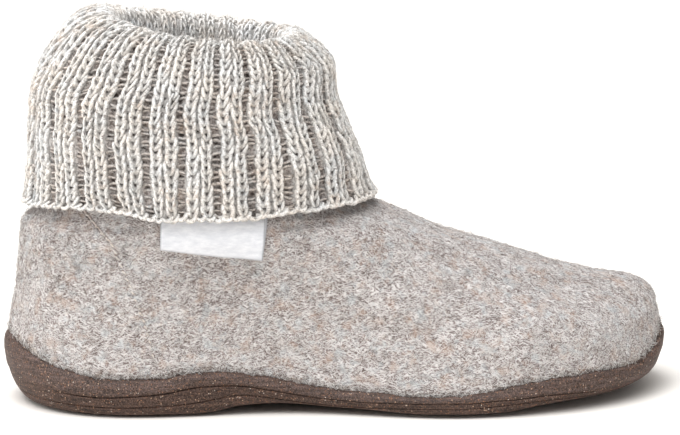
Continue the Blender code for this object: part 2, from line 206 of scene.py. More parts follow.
def upper_ring(row):
    size = dict(zip(UPPER_COLUMNS, row))
    along, side, bulge = turns(ROUND)
    fullness = 2 * np.sqrt(np.array(STATIONS) * (1 - np.array(STATIONS)))
    outer = np.array([size["heel"], size["waist_out"], size["ball_out"], size["nose"]]) / fullness
    inner = np.array([size["heel"], size["waist_in"], size["ball_in"], size["nose"]]) / fullness
    half = bulge * np.where(side < 0, smooth(STATIONS, outer, along), smooth(STATIONS, inner, along))
    turn_in = size["front_y"] * np.clip((along - TOE_TURN) / (1 - TOE_TURN), 0, 1) ** 2
    x = size["back_x"] + (size["front_x"] - size["back_x"]) * along
    z = size["back_z"] + (size["front_z"] - size["back_z"]) * along
    chord = sole_line(size["line"], 0.0) * (1 - along) + sole_line(size["line"], 1.0) * along
    z = z + size["follow"] * (sole_line(size["line"], along) - chord)
    return np.stack([x, side * half + turn_in, z], axis=1)


def run_along(rows):
    """How far each point or ring of a row lies from the first."""
    steps = np.linalg.norm(np.diff(rows, axis=0), axis=-1)
    return np.concatenate([[0], np.cumsum(steps.reshape(len(steps), -1).mean(axis=1))])


def cuff_ring(row):
    """One row of the cuff as points evenly spaced round it."""
    size = dict(zip(CUFF_COLUMNS, row))
    along, side, bulge = turns(2 * CUFF_ROUND)
    x = size["back_x"] + (size["front_x"] - size["back_x"]) * along
    z = size["back_z"] + (size["front_z"] - size["back_z"]) * along + size["sag"] * bulge
    stations, lifts = zip(*HEM_WAVE)
    z = z + size["wave"] * smooth(stations, lifts, along)
    ring = np.stack([x, side * bulge * size["half"], z], axis=1)
    closed = np.concatenate([ring, ring[:1]])
    run = run_along(closed)
    wanted = run[-1] * np.arange(CUFF_ROUND) / CUFF_ROUND
    return np.stack([np.interp(wanted, run, closed[:, axis]) for axis in range(3)], axis=1)


def rings_at(rings, levels):
    """Rings of a surface at levels between its own rings."""
    return np.array([smooth(np.arange(len(rings)), rings, level) for level in levels])


def even_rows(rings, low, high, count):
    """Rings between two levels at even steps up the surface, how far that is, and their levels."""
    levels = np.linspace(low, high, LEVEL_STEPS)
    run = run_along(rings_at(rings, levels))
    wanted = np.interp(np.linspace(0, run[-1], count), run, levels)
    return rings_at(rings, wanted), run[-1], wanted


def unit(ways):
    return ways / np.linalg.norm(ways, axis=-1, keepdims=True)


def outward(surface):
    """Unit directions square to rows of rings."""
    up = np.gradient(surface, axis=0)
    around = np.roll(surface, -1, axis=1) - np.roll(surface, 1, axis=1)
    return unit(np.cross(around, up))


def sample(surface, round_share, up_share):
    """Values on a surface at shares round it and up it."""
    rows, columns = surface.shape[:2]
    x = (round_share % 1.0) * columns
    y = np.clip(up_share, 0, 1) * (rows - 1)
    i = np.floor(x).astype(int)
    j = np.minimum(np.floor(y).astype(int), rows - 2)
    right, up = (x - i)[..., None], (y - j)[..., None]
    i = i % columns
    k = (i + 1) % columns
    low = surface[j, i] * (1 - right) + surface[j, k] * right
    high = surface[j + 1, i] * (1 - right) + surface[j + 1, k] * right
    return low * (1 - up) + high * up


def waves(points, count, longest, shortest, seed):
    """Slow random swells, about one high."""
    dice = np.random.default_rng(seed)
    total = np.zeros(points.shape[:-1])
    for _ in range(count):
        way = dice.normal(size=3)
        way = way / np.linalg.norm(way) * 2 * math.pi / dice.uniform(shortest, longest)
        total = total + np.sin(points @ way + dice.uniform(0, 2 * math.pi))
    return total / math.sqrt(count / 2)


def ease(value):
    value = np.clip(value, 0, 1)
    return value * value * (3 - 2 * value)


# Mesh making
def meshed(name, cloth):
    """Mesh of a finished shape."""
    data = bpy.data.meshes.new(name)
    cloth.to_mesh(data)
    cloth.free()
    return data


def placed(name, data):
    """Object in the scene for a mesh, a lamp or a camera."""
    made = bpy.data.objects.new(name, data)
    bpy.context.scene.collection.objects.link(made)
    return made


def worked_out(thing):
    """Mesh of an object with its modifiers worked out."""
    bpy.context.view_layer.update()
    return bpy.data.meshes.new_from_object(thing.evaluated_get(bpy.context.evaluated_depsgraph_get()))


def draped(points, wrap=True):
    """Grid draped over rows of points; wrap closes it round, and rows that meet are welded."""
    rows, columns = points.shape[:2]
    across = columns if wrap else columns - 1
    cloth = bmesh.new()
    cloth.loops.layers.uv.new("run")
    bmesh.ops.create_grid(cloth, x_segments=across, y_segments=rows - 1, size=0.5, calc_uvs=True)
    for vert in cloth.verts:
        i = round((vert.co.x + 0.5) * across) % columns
        j = round((vert.co.y + 0.5) * (rows - 1))
        vert.co = points[j, i]
    bmesh.ops.remove_doubles(cloth, verts=cloth.verts, dist=WELD)
    bmesh.ops.recalc_face_normals(cloth, faces=cloth.faces)
    return cloth


def metres(points):
    return (points - SHIFT) * MM


def piece(name, cloth, shade):
    return shown(name, meshed(name, cloth), shade)


def shown(name, data, shade):
    data.name = name
    data.shade_smooth()
    data.materials.clear()
    data.materials.append(shade)
    made = placed(name, data)
    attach(made, "root")
    return made


def laid(name, base, count, place, shade):
    """Copies of one small shape, each moved to its own place; place gets the shape in mm for each copy."""
    seed = meshed("seed", base)
    holder = placed("seed", seed)
    row = holder.modifiers.new("row", "ARRAY")
    row.count = count
    row.use_relative_offset = False
    row.use_constant_offset = True
    row.constant_offset_displace = (0.0, 0.0, 1.0)
    data = worked_out(holder)
    shape = np.empty(len(seed.vertices) * 3)
    seed.vertices.foreach_get("co", shape)
    shape = np.tile(shape.reshape(1, -1, 3), (count, 1, 1))
    bpy.data.objects.remove(holder)
    bpy.data.meshes.remove(seed)
    points = metres(place(shape))
    data.vertices.foreach_set("co", points.ravel())
    tint = data.attributes.new("tint", "FLOAT", "POINT")
    tint.data.foreach_set("value", np.repeat(random.random(count), shape.shape[1]).astype(np.float32))
    data.update()
    shown(name, data, shade)


def jitter(copy, spread, middle=0.0):
    """One random number for each copy of a small shape."""
    return random.normal(middle, spread, (len(copy), 1))


def tube(path, swell, radii, sides):
    """Closed round strand along a path; radii are across and out, swell their share at each point."""
    radii = np.outer(swell, radii)
    ahead = unit(np.gradient(path, axis=0))
    across = unit(np.cross(ahead, (0.0, 0.0, 1.0)))
    out = np.cross(across, ahead)
    angle = np.arange(sides) * 2 * math.pi / sides
    ring = (across[:, None] * np.cos(angle)[:, None] * radii[:, None, :1]
            + out[:, None] * np.sin(angle)[:, None] * radii[:, None, 1:])
    return draped(path[:, None] + ring)


def blunt(share):
    """Swell of a short strand: thinner at its ends and closed there."""
    return np.concatenate([[0.0, 0.8], np.ones(len(share) - 4), [0.8, 0.0]])


def joined(*parts):
    """Several small shapes as one."""
    whole = bmesh.new()
    for part in parts:
        data = meshed("part", part)
        whole.from_mesh(data)
        bpy.data.meshes.remove(data)
    return whole


# Shading
def wire(value, node, key):
    value.id_data.links.new(value, node.inputs[key])


def add(kind, inputs, tree=None, **settings):
    """New node, in the tree of its inputs where none is given."""
    wired = {key: value for key, value in inputs.items() if isinstance(value, bpy.types.NodeSocket)}
    tree = tree or next(iter(wired.values())).id_data
    node = tree.nodes.new(kind)
    for key, value in settings.items():
        setattr(node, key, value)
    for key, value in inputs.items():
        if key in wired:
            wire(value, node, key)
        else:
            node.inputs[key].default_value = value
    return node


def surface_of(shade):
    return shade.node_tree.nodes["Principled BSDF"]


def new_shade(name, roughness, sheen=0.0, specular=0.3):
    shade = bpy.data.materials.new(name)
    shade.use_nodes = True
    surface = surface_of(shade)
    surface.inputs["Roughness"].default_value = roughness
    surface.inputs["Specular IOR Level"].default_value = specular
    surface.inputs["Sheen Weight"].default_value = sheen
    surface.inputs["Sheen Roughness"].default_value = 0.5
    return shade


def finished(shade, colour, height, strength, distance):
    """Shade with its colour and its relief wired in."""
    wire(colour, surface_of(shade), "Base Color")
    bump = add("ShaderNodeBump", {"Height": height, "Strength": strength, "Distance": distance})
    wire(bump.outputs[0], surface_of(shade), "Normal")
    return shade


def grain(where, scale, detail=2.0, rough=0.5, kind="FBM"):
    sizes = {"Vector": where, "Scale": scale, "Detail": detail, "Roughness": rough}
    return add("ShaderNodeTexNoise", sizes, noise_type=kind).outputs[0]


def between(value, low, high, to_low=0.0, to_high=1.0):
    return add("ShaderNodeMapRange", {0: value, 1: low, 2: high, 3: to_low, 4: to_high}).outputs[0]


def blend(factor, first, second, kind="MIX"):
    colours = {0: factor, 6: first, 7: second}
    return add("ShaderNodeMix", colours, data_type="RGBA", blend_type=kind).outputs[2]


def maths(first, what, second=0.0):
    return add("ShaderNodeMath", {0: first, 1: second}, operation=what).outputs[0]


def times(first, second):
    return maths(first, "MULTIPLY", second)


def sine(share, count):
    """Wave with so many turns over a share."""
    return maths(times(share, 2 * math.pi * count), "SINE")


def rgb(red, green, blue):
    return (red, green, blue, 1.0)


def object_place(shade):
    """Where a point lies in the boot's own frame."""
    return add("ShaderNodeTexCoord", {}, shade.node_tree).outputs["Object"]


def run_place(shade):
    """Shares of the way round a piece and along it."""
    return add("ShaderNodeUVMap", {}, shade.node_tree, uv_map="run").outputs[0]


def own_tint(shade):
    """Random number of each copy of a small shape."""
    return add("ShaderNodeAttribute", {}, shade.node_tree, attribute_name="tint").outputs["Fac"]


def parted(where):
    return add("ShaderNodeSeparateXYZ", {0: where}).outputs


def off_middle(share, middle=0.5):
    """How far a share lies from one half or another middle."""
    return maths(maths(share, "SUBTRACT", middle), "ABSOLUTE")


def shifted(where, amount):
    return add("ShaderNodeVectorMath", {0: where, 1: (amount, -amount, 0.7 * amount)}).outputs[0]


def patches(where, shift, kind, low, high, to_low=0.0, to_high=1.0):
    """Grain of a scale, detail and roughness, moved off the other grains and spread between two levels."""
    return between(grain(shifted(where, shift), *kind), low, high, to_low, to_high)


def shaded(colour, amount):
    """Colour made lighter or darker by an amount."""
    grey = add("ShaderNodeCombineColor", {0: amount, 1: amount, 2: amount}).outputs[0]
    return blend(1.0, colour, grey, "MULTIPLY")


def drawn_out(where, *scale):
    """Places for a grain that is coarser one way than another."""
    return add("ShaderNodeMapping", {"Vector": where, "Scale": scale}).outputs[0]


def strokes(where, turn, scale, low, high, most):
    """Short fibres lying one way: stretched grain, cut off low."""
    lie = {"Vector": where, "Rotation": [math.radians(angle) for angle in turn], "Scale": (1.0, 1.0, 8.0)}
    laid_way = add("ShaderNodeMapping", lie, vector_type="TEXTURE").outputs[0]
    return between(grain(laid_way, scale, 1.0), low, high, 0.0, most)


# Fibre layers of the felt: how they lie, in degrees, and their fineness
PALE_FIBRES = (((0, 78, 15), 2200.0), ((0, 118, -20), 2050.0), ((70, 40, 60), 2100.0))
DARK_FIBRES = (((0, 95, -12), 2250.0), ((0, 58, 25), 2100.0), ((80, -50, 20), 2150.0))


def felt_shade(name, light, dark, fleck, seam=False):
    """Heathered wool felt: squiggly light and dark fibres, blue-grey and rusty clouds."""
    shade = new_shade(name, 0.95, sheen=0.1, specular=0.1)
    where = object_place(shade)
    swirl = add("ShaderNodeTexNoise", {"Vector": where, "Scale": 260.0, "Detail": 1.0}).outputs["Color"]
    bent = add("ShaderNodeVectorMath", {0: swirl, 1: (0.0026, 0.0026, 0.0026), 2: where},
               operation="MULTIPLY_ADD").outputs[0]
    cloud = between(grain(where, 120.0, 5.0, 0.68), 0.385, 0.615)
    colour = blend(cloud, dark, light)
    heights = []
    for i, (turn, scale) in enumerate(DARK_FIBRES):
        mark = strokes(shifted(bent, 0.9 + i), turn, scale, 0.53, 0.63, 0.85)
        mark = times(mark, between(cloud, 0.0, 1.0, 1.15, 0.8))
        colour = blend(mark, colour, rgb(0.125, 0.094, 0.085))
    for i, (turn, scale) in enumerate(PALE_FIBRES):
        mark = strokes(shifted(bent, 4.9 + i), turn, scale, 0.53, 0.65, 0.85)
        mark = times(mark, between(cloud, 0.0, 1.0, 0.8, 1.15))
        colour = blend(mark, colour, rgb(0.77, 0.74, 0.73))
        heights.append(mark)
    rust = patches(where, 3.1, (170.0, 3.0, 0.6), 0.52, 0.70, 0.0, 0.42 * fleck)
    colour = blend(rust, colour, rgb(0.50, 0.345, 0.26))
    blue = patches(where, 7.7, (190.0, 3.0, 0.6), 0.53, 0.68, 0.0, 0.40 * fleck)
    colour = blend(blue, colour, rgb(0.54, 0.60, 0.63))
    height = cloud
    for mark in heights:
        height = maths(height, "ADD", mark)
    if seam:
        thread, sunk_and_shade = seam_mark(where)
        # Painted shade on the seam's sunken edges; the same mask sinks them in the relief.
        colour = blend(times(sunk_and_shade, 0.75), colour, rgb(0.12, 0.09, 0.08))
        colour = blend(times(thread, 0.8), colour, rgb(0.80, 0.70, 0.65))
        height = maths(height, "SUBTRACT", times(sunk_and_shade, 1.5))
    return finished(shade, colour, height, 0.6, 0.0005)


def seam_mark(where):
    """Pale thread of the heel quarter's seam and painted shade on its sunken edges, fading downwards from the
    hem.
    """
    at_x, at_y, at_z = parted(where)
    (x, z), (far_x, far_z) = SEAM[0], SEAM[1]
    turn = math.atan2(far_z - z, far_x - x)
    dx = maths(at_x, "SUBTRACT", (x - LENGTH / 2) * MM)
    dz = maths(at_z, "SUBTRACT", z * MM)
    along = maths(times(dx, math.cos(turn)), "ADD", times(dz, math.sin(turn)))
    aside = maths(times(dz, math.cos(turn)), "SUBTRACT", times(dx, math.sin(turn)))
    off = maths(aside, "ABSOLUTE")
    fade = between(along, 0.010, 0.022, 1.0, 0.0)
    fade = times(fade, maths(at_y, "LESS_THAN", 0.0))
    thread = times(between(off, 0.00015, 0.0004, 1.0, 0.0), fade)
    sunk_and_shade = times(between(off, 0.0004, 0.0010, 1.0, 0.0), fade)
    return thread, sunk_and_shade


def rib_ground(where, run, gap):
    """Knit ground: painted shade in the gaps, pale along the ribs with painted-shade pits, painted light
    inside the cuff.
    """
    round_share, up_share, _ = parted(run)
    ribs = maths(times(round_share, float(RIBS)), "SUBTRACT", RIB_PHASE)
    aside = off_middle(maths(ribs, "FRACT"))
    crown = between(aside, 0.33, 0.42, 1.0, 0.0)
    hole_shade = patches(where, 13.0, (420.0, 2.0, 0.6), 0.36, 0.45, 0.9, 0.0)
    fine = grain(shifted(where, 6.0), 800.0, 3.0, 0.7)
    # In the gaps the dark ground wool and the near-black holes are painted shade; the specks are the wool's
    # own.
    gap = blend(between(fine, 0.50, 0.62, 0.0, 0.8), gap, rgb(0.72, 0.66, 0.63))
    gap = blend(between(fine, 0.36, 0.48, 0.75, 0.0), gap, rgb(0.10, 0.078, 0.07))
    gap = blend(hole_shade, gap, rgb(0.055, 0.042, 0.038))
    # Painted shade in the pit inside each loop and in the middle between the wales.
    course = maths(times(up_share, COURSES_TO_RUN), "SUBTRACT", LOOP_OPEN)
    up = off_middle(maths(course, "FRACT"))
    beside = off_middle(aside, WALE_WIDE / 2 / RIB_WIDE)
    pit_shade = times(between(beside, 0.03, 0.10, 1.0, 0.0), between(up, 0.12, 0.36, 1.0, 0.0))
    pit_shade = times(pit_shade, between(fine, 0.42, 0.60, 1.0, 0.5))
    speck = between(fine, 0.33, 0.45, 0.8, 0.0)
    next_up = maths(0.5, "SUBTRACT", up)
    middle = between(aside, 0.05, 0.10, 1.0, 0.0)
    middle = times(middle, between(next_up, 0.12, 0.36, 1.0, 0.15))
    middle = times(middle, between(fine, 0.44, 0.58, 1.0, 0.2))
    pit_shade = maths(pit_shade, "MAXIMUM", middle)
    # Pale ground along the ribs, dark where the pits carry painted shade and at random specks.
    rib = blend(maths(pit_shade, "MAXIMUM", speck), rgb(0.84, 0.815, 0.795), rgb(0.06, 0.047, 0.042))
    hair = grain(shifted(where, 19.0), 1000.0, 2.0, 0.6, "RIDGED_MULTIFRACTAL")
    rib = blend(between(hair, 0.95, 1.35, 0.0, 0.6), rib, rgb(0.26, 0.215, 0.195))
    colour = blend(crown, gap, rib)
    # Paler ground inside the cuff: painted light, where the inside lies in shade.
    inside = between(up_share, INSIDE_LOW, INSIDE_LOW + 0.03, 0.0, 0.92)
    return blend(inside, colour, rgb(0.93, 0.915, 0.90))


def yarn_shade(name, pale, mid, deep, painted_crest_light=0.0, ribbed=False):
    """Marled cream, grey and brown wool yarn; painted highlight on strand tops, painted shade in twist
    grooves and rib gaps.
    """
    shade = new_shade(name, 0.95, sheen=0.1, specular=0.05)
    where = object_place(shade)
    run = run_place(shade)
    around, along, _ = parted(drawn_out(run, 1.0, 0.6, 1.0))
    twist = maths(around, "ADD", along)
    strand = sine(twist, 2.0)
    tint = own_tint(shade)
    fleck = grain(where, 800.0, 3.0, 0.7)
    colour = blend(between(fleck, 0.36, 0.62), mid, pale)
    hair = grain(shifted(where, 2.2), 1500.0, 2.0, 0.6, "RIDGED_MULTIFRACTAL")
    colour = blend(between(hair, 0.96, 1.32, 0.0, 0.76), colour, deep)
    brown = patches(where, 5.0, (260.0, 3.0, 0.7), 0.50, 0.68, 0.0, 0.55)
    warm = patches(where, 11.0, (45.0, 1.0), 0.40, 0.62, 0.25, 1.0)
    colour = blend(times(brown, warm), colour, rgb(0.56, 0.41, 0.30))
    blue = patches(where, 8.0, (260.0, 3.0, 0.7), 0.55, 0.70, 0.0, 0.5)
    colour = blend(blue, colour, rgb(0.62, 0.66, 0.68))
    hue = patches(where, 15.0, (90.0, 2.0), 0.36, 0.64)
    hue = blend(hue, rgb(1.0, 0.97, 0.935), rgb(0.965, 0.985, 1.0))
    colour = blend(1.0, colour, hue, "MULTIPLY")
    if ribbed:
        colour = rib_ground(where, run, colour)
    else:
        speck = patches(where, 3.3, (1000.0, 2.0, 0.6), 0.33, 0.42, 0.75, 0.0)
        colour = blend(speck, colour, rgb(0.22, 0.18, 0.16))
    slow = patches(where, 9.0, (70.0, 2.0), 0.35, 0.65, 0.90, 1.06)
    # Random tone of each copy and slow patches, with the painted light on strand tops multiplied in below.
    tone_and_crest_light = times(between(tint, 0.0, 1.0, 0.88, 1.06), slow)
    # Painted highlight along the top of each strand and painted shade on its flanks.
    if painted_crest_light:
        top = sine(parted(run)[0], 1)
        tone_and_crest_light = times(tone_and_crest_light, between(top, 0.70, 0.98, 1 - painted_crest_light, 1.05))
    grit = patches(where, 17.0, (1700.0, 1.0), 0.34, 0.47, 0.68, 1.03)
    # Painted shade in the grooves between the plies of the twist.
    ply_groove_shade = between(strand, -0.95, -0.35, 0.78, 1.0)
    colour = shaded(colour, times(maths(tone_and_crest_light, "MINIMUM", 1.0), times(grit, ply_groove_shade)))
    height = maths(times(strand, 0.5), "ADD", times(fleck, 1.6))
    return finished(shade, colour, maths(height, "ADD", hair), 0.55, 0.0004)


def fibre_shade(name, pale, deep, share):
    """Loose wool fibres, some pale and some dark."""
    shade = new_shade(name, 0.9, sheen=0.1, specular=0.05)
    where = object_place(shade)
    tint = own_tint(shade)
    colour = blend(between(tint, share - 0.1, share + 0.1), deep, pale)
    rust = between(grain(where, 160.0), 0.55, 0.7, 0.0, 0.4)
    colour = blend(rust, colour, rgb(0.50, 0.37, 0.28))
    return finished(shade, colour, grain(where, 2500.0), 0.2, 0.0001)


# Crumbs in the rubber: place, fineness, share left out, and shade
CRUMBS = ((0.0, 1450.0, 0.88, rgb(0.26, 0.13, 0.075)), (4.0, 1550.0, 0.965, rgb(0.52, 0.35, 0.24)),
          (8.0, 1350.0, 0.86, rgb(0.016, 0.010, 0.008)), (12.0, 1700.0, 0.985, rgb(0.66, 0.58, 0.50)))


def rubber_shade():
    """Dark brown rubber drawn out in streaks, small cork crumbs; its upper band greyer, own tone and painted
    light.
    """
    shade = new_shade("cork_rubber", 0.66, specular=0.25)
    where = object_place(shade)
    drawn = between(grain(drawn_out(where, 0.07, 0.07, 1.0), 1000.0, 4.0, 0.75), 0.38, 0.62)
    colour = blend(drawn, rgb(0.024, 0.015, 0.012), rgb(0.098, 0.060, 0.048))
    # Upper band of the side greyer and lighter: partly the rubber's own tone, partly painted light from
    # above.
    up = parted(run_place(shade))[1]
    band = between(up, BAND_LOW, BAND_LOW + 0.01)
    band = times(band, between(up, BAND_HIGH, BAND_HIGH + 0.02, 1.0, 0.0))
    grey = blend(drawn, rgb(0.050, 0.036, 0.032), rgb(0.138, 0.101, 0.093))
    colour = blend(times(band, 0.75), colour, grey)
    rust = patches(where, 2.0, (900.0, 4.0, 0.75), 0.50, 0.64, 0.0, 0.55)
    colour = blend(rust, colour, rgb(0.15, 0.080, 0.052))
    dust = grain(where, 1500.0, 3.0, 0.8)
    colour = blend(between(dust, 0.52, 0.62, 0.0, 0.5), colour, rgb(0.20, 0.135, 0.106))
    colour = blend(between(dust, 0.38, 0.48, 0.65, 0.0), colour, rgb(0.020, 0.012, 0.010))
    for step, scale, share, tone in CRUMBS:
        crumbs = add("ShaderNodeTexVoronoi", {"Vector": shifted(where, step), "Scale": scale})
        pick = add("ShaderNodeSeparateColor", {0: crumbs.outputs["Color"]}).outputs[0]
        chosen = maths(pick, "GREATER_THAN", share)
        core = between(crumbs.outputs["Distance"], 0.25, 0.5, 0.9, 0.0)
        colour = blend(times(chosen, core), colour, tone)
    grit = patches(where, 6.0, (2600.0, 1.0), 0.36, 0.64, 0.6, 1.4)
    wire(between(dust, 0.3, 0.7, 0.52, 0.76), surface_of(shade), "Roughness")
    return finished(shade, shaded(colour, grit), maths(dust, "ADD", drawn), 0.35, 0.0003)


def tab_shade():
    """White close-woven tape, with painted shade along its fold and darker selvedge edges that carry painted
    shade too.
    """
    shade = new_shade("tab_weave", 0.75, sheen=0.1, specular=0.25)
    across, along, _ = parted(run_place(shade))
    warp, weft = sine(across, TAB_WARPS), sine(along, TAB_WEFTS)
    cross = times(warp, weft)
    where = object_place(shade)
    soil = between(grain(drawn_out(where, 0.35, 1.0, 1.0), 700.0, 4.0, 0.65), 0.35, 0.65)
    colour = blend(soil, rgb(0.65, 0.665, 0.705), rgb(0.79, 0.80, 0.83))
    colour = blend(between(cross, 0.0, 1.0, 0.0, 0.25), colour, rgb(0.50, 0.51, 0.55))
    # Darker side edges: the selvedge with painted shade at the edge; the line at the fold is painted shade
    # where it turns.
    side = between(off_middle(across), 0.482, 0.496)
    fold = between(off_middle(along), 0.012, 0.05, 1.0, 0.0)
    edge = maths(side, "MAXIMUM", fold)
    colour = blend(times(edge, 0.7), colour, rgb(0.34, 0.345, 0.37))
    return finished(shade, colour, cross, 0.3, 0.0001)


# Felt upper
LAST = np.array([upper_ring(row) for row in UPPER_RINGS])
felt_skin, _, felt_levels = even_rows(LAST, SEAT_LEVEL, TOP_LEVEL, FELT_ROWS)
felt_out = outward(felt_skin)


def tab_near(points):
    """One on the felt behind the side tab, fading to none round it."""
    x, z = points[..., 0], points[..., 2]
    beside = np.maximum(np.maximum(TAB_LEFT - x, x - TAB_RIGHT), 0)
    below = np.maximum(TAB_FOLD_RIGHT - z, 0)
    return (points[..., 1] < 0) * (1 - ease(np.hypot(beside, below) / TAB_FADE))


def felt_relief(points, levels):
    """Swells and creases of the felt, its bulge over the sole's lip and its pinch under the hem, mm out."""
    shown_part = ease((levels - 1.0) / 0.8) * (1 - ease((levels - 8.8) / 0.8))
    high = FELT_SWELL * waves(points, count=16, longest=42, shortest=15, seed=3) - 0.15
    for x, z, slope, long, wide, deep in CREASES:
        turn = math.radians(slope)
        dx, dz = points[..., 0] - x, points[..., 2] - z
        along = dx * math.cos(turn) + dz * math.sin(turn)
        aside = dz * math.cos(turn) - dx * math.sin(turn)
        high = high + deep * np.exp(-(aside / wide) ** 2 - (along / long) ** 2) * (points[..., 1] < 0)
    high = high * (1 - tab_near(points))
    over_lip = ease((levels - 1.02) / 0.12) * (1 - ease((levels - 1.3) / 0.7))
    pinched = ease((levels - 8.3) / 0.6) * (1 - 0.6 * tab_near(points))
    return high * shown_part + 0.6 * over_lip - 1.6 * pinched


felt_skin = felt_skin + felt_out * felt_relief(felt_skin, felt_levels[:, None])[..., None]
felt_out = outward(felt_skin)


def on_outer_side(x, z, out):
    """Points off the outer side of the felt at places along and up the boot, and the way out there."""
    half = ROUND // 2 + 1
    heights = np.array([np.interp(x, row[:half, 0], row[:half, 2]) for row in felt_skin]).T
    reach = np.array([np.interp(x, row[:half, 0], row[:half, 1]) for row in felt_skin]).T
    y = np.array([np.interp(z[k], heights[k], reach[k]) for k in range(len(x))])
    ways = []
    for axis in range(3):
        rows = [np.interp(x, row[:half, 0], way[:half, axis]) for row, way in zip(felt_skin, felt_out)]
        rows = np.array(rows).T
        ways.append([np.interp(z[k], heights[k], rows[k]) for k in range(len(x))])
    way = np.array(ways).T
    return np.stack([x, y, z], axis=1) + way * np.asarray(out)[..., None], way


def make_upper():
    shade = felt_shade("heather_felt", rgb(0.487, 0.440, 0.430), rgb(0.330, 0.287, 0.275), 1.0, seam=True)
    lining, _, _ = even_rows(LAST, SEAT_LEVEL, TOP_LEVEL, LINING_ROWS)
    lining = lining - FELT_WALL * outward(lining)
    closed = np.concatenate([felt_skin, lining[::-1], felt_skin[:1]])
    upper = piece("felt_upper", draped(metres(closed)), shade)
    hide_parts("upper")


def hair_shape():
    """One fibre a mm long, tapered to its tip."""
    fibre = bmesh.new()
    bmesh.ops.create_cone(fibre, cap_ends=True, segments=3, radius1=1.0, radius2=0.35, depth=1.0)
    bmesh.ops.translate(fibre, verts=fibre.verts, vec=(0.0, 0.0, 0.5))
    bmesh.ops.bisect_plane(fibre, geom=fibre.verts[:] + fibre.edges[:] + fibre.faces[:],
                           plane_co=(0.0, 0.0, 0.5), plane_no=(0.0, 0.0, 1.0))
    return fibre


def any_way(ways):
    """Random directions lying in a surface."""
    return unit(np.cross(ways, random.normal(size=ways.shape)))


def bent_hairs(shape, roots, ways, aside, lengths, lift, thick):
    """Fibres laid over a surface, each along its own way, rising and bending a little."""
    count = len(roots)
    flow = np.cross(ways, aside)
    along = shape[..., 2:] * lengths[:, None, None]
    curl = random.normal(size=(count, 1, 1)) * 0.35 * shape[..., 2:] ** 2 * lengths[:, None, None]
    rise = (lift[:, None, None] * shape[..., 2:] * (1.6 - shape[..., 2:])) * lengths[:, None, None]
    middle = roots[:, None] + aside[:, None] * along + flow[:, None] * curl + ways[:, None] * rise
    return middle + thick * (flow[:, None] * shape[..., :1] + ways[:, None] * shape[..., 1:2])


def make_felt_hairs():
    shade = fibre_shade("felt_fibre", rgb(0.88, 0.86, 0.84), rgb(0.17, 0.135, 0.12), 0.45)
    lip, edge, hem = (np.searchsorted(felt_levels, level) / (FELT_ROWS - 1) for level in (1.05, 1.25, 9.3))
    # How many, from where to where, how they crowd low down, shortest, longest, thickness and lift
    layers = (("felt_fibres", 12500, edge, hem, 1.0, 1.4, 3.6, 0.075, 0.28),
              ("lip_fibres", 4000, lip, edge, 2.0, 1.0, 2.8, 0.12, 0.3))
    for name, count, low, high, fall, shortest, longest, thick, raising in layers:
        angle = random.random(count)
        up = low + (high - low) * random.random(count) ** fall
        roots, ways = sample(felt_skin, angle, up), sample(felt_out, angle, up)
        aside = any_way(ways)
        if name == "lip_fibres":
            aside = unit(aside - np.array([0.0, 0.0, 0.9]))
        keep = 1 - 0.7 * tab_near(roots)
        lengths = random.uniform(shortest, longest, count) * keep
        lift = np.abs(random.normal(0.0, raising, count)) * keep
        roots = roots + 0.03 * ways
        laid(name, hair_shape(), count,
             lambda shape: bent_hairs(shape, roots, ways, aside, lengths, lift, thick), shade)


# Rubber cup sole
# Rows up its side: the line each sits by, a shift from it as a share of the side, how far it stands out,
# and how far it is cut back where the line is pressed in
SOLE_SIDE = (
    ("tread", 0.00, -7.0, 0.0),
    ("rim", 0.0, -5.5, 0.0), ("rim", 0.0, -0.9, 0.0), ("rim", 0.02, -0.3, 0.0), ("rim", 0.05, 0.0, 0.0),
    ("low", -0.07, 0.05, 0.0), ("low", -0.026, 0.1, 0.0), ("low", -0.017, 0.15, 0.5),
    ("low", 0.006, 0.2, 0.5), ("low", 0.016, 0.3, 0.0), ("low", 0.06, 0.35, 0.0),
    ("between", 0.0, 0.5, 0.0),
    ("step", -0.07, 0.55, 0.0), ("step", -0.022, 0.6, 0.0), ("step", -0.014, 0.7, 0.75),
    ("step", 0.006, 0.75, 0.75), ("step", 0.014, 0.9, 0.0), ("step", 0.06, 1.0, 0.0),
    ("band", 0.0, 1.0, 0.0),
    ("lip", -0.16, 0.8, 0.0), ("lip", -0.08, 0.35, 0.0), ("lip", -0.03, -0.35, 0.0), ("lip", 0.0, -1.15, 0.0),
)
# Lines pressed round the side, as shares of its height at stations from the heel back
UPPER_LINE = ((0.0, 0.50), (0.10, 0.53), (0.16, 0.575), (0.22, 0.63), (0.29, 0.71), (0.34, 0.68),
              (0.40, 0.60), (0.46, 0.56), (0.52, 0.57), (0.60, 0.71), (0.65, 0.745), (0.71, 0.67),
              (0.77, 0.55), (0.80, 0.51), (0.86, 0.39), (0.90, 0.32), (1.0, 0.28))
LOWER_LINE = ((0.0, 0.22), (0.10, 0.28), (0.19, 0.30), (0.26, 0.33), (0.31, 0.40), (0.34, 0.42),
              (0.38, 0.36), (0.42, 0.29), (0.47, 0.26), (0.55, 0.35), (0.62, 0.48), (0.72, 0.44),
              (0.80, 0.33), (0.86, 0.22), (1.0, 0.16))
# How deep each line is pressed at stations along it
PRESSED = {"step": ((0.0, 0.05), (0.06, 0.1), (0.11, 1.0), (0.84, 1.0), (0.89, 0.1), (1.0, 0.0)),
           "low": ((0.0, 0.4), (0.06, 0.7), (0.12, 1.0), (0.27, 1.0), (0.36, 0.8), (0.60, 0.6),
                   (0.85, 0.6), (0.90, 0.0), (1.0, 0.0))}
SHRINK = (0.0, 0.35, 0.7, 0.9, 0.98)
CUP_ROWS = 7
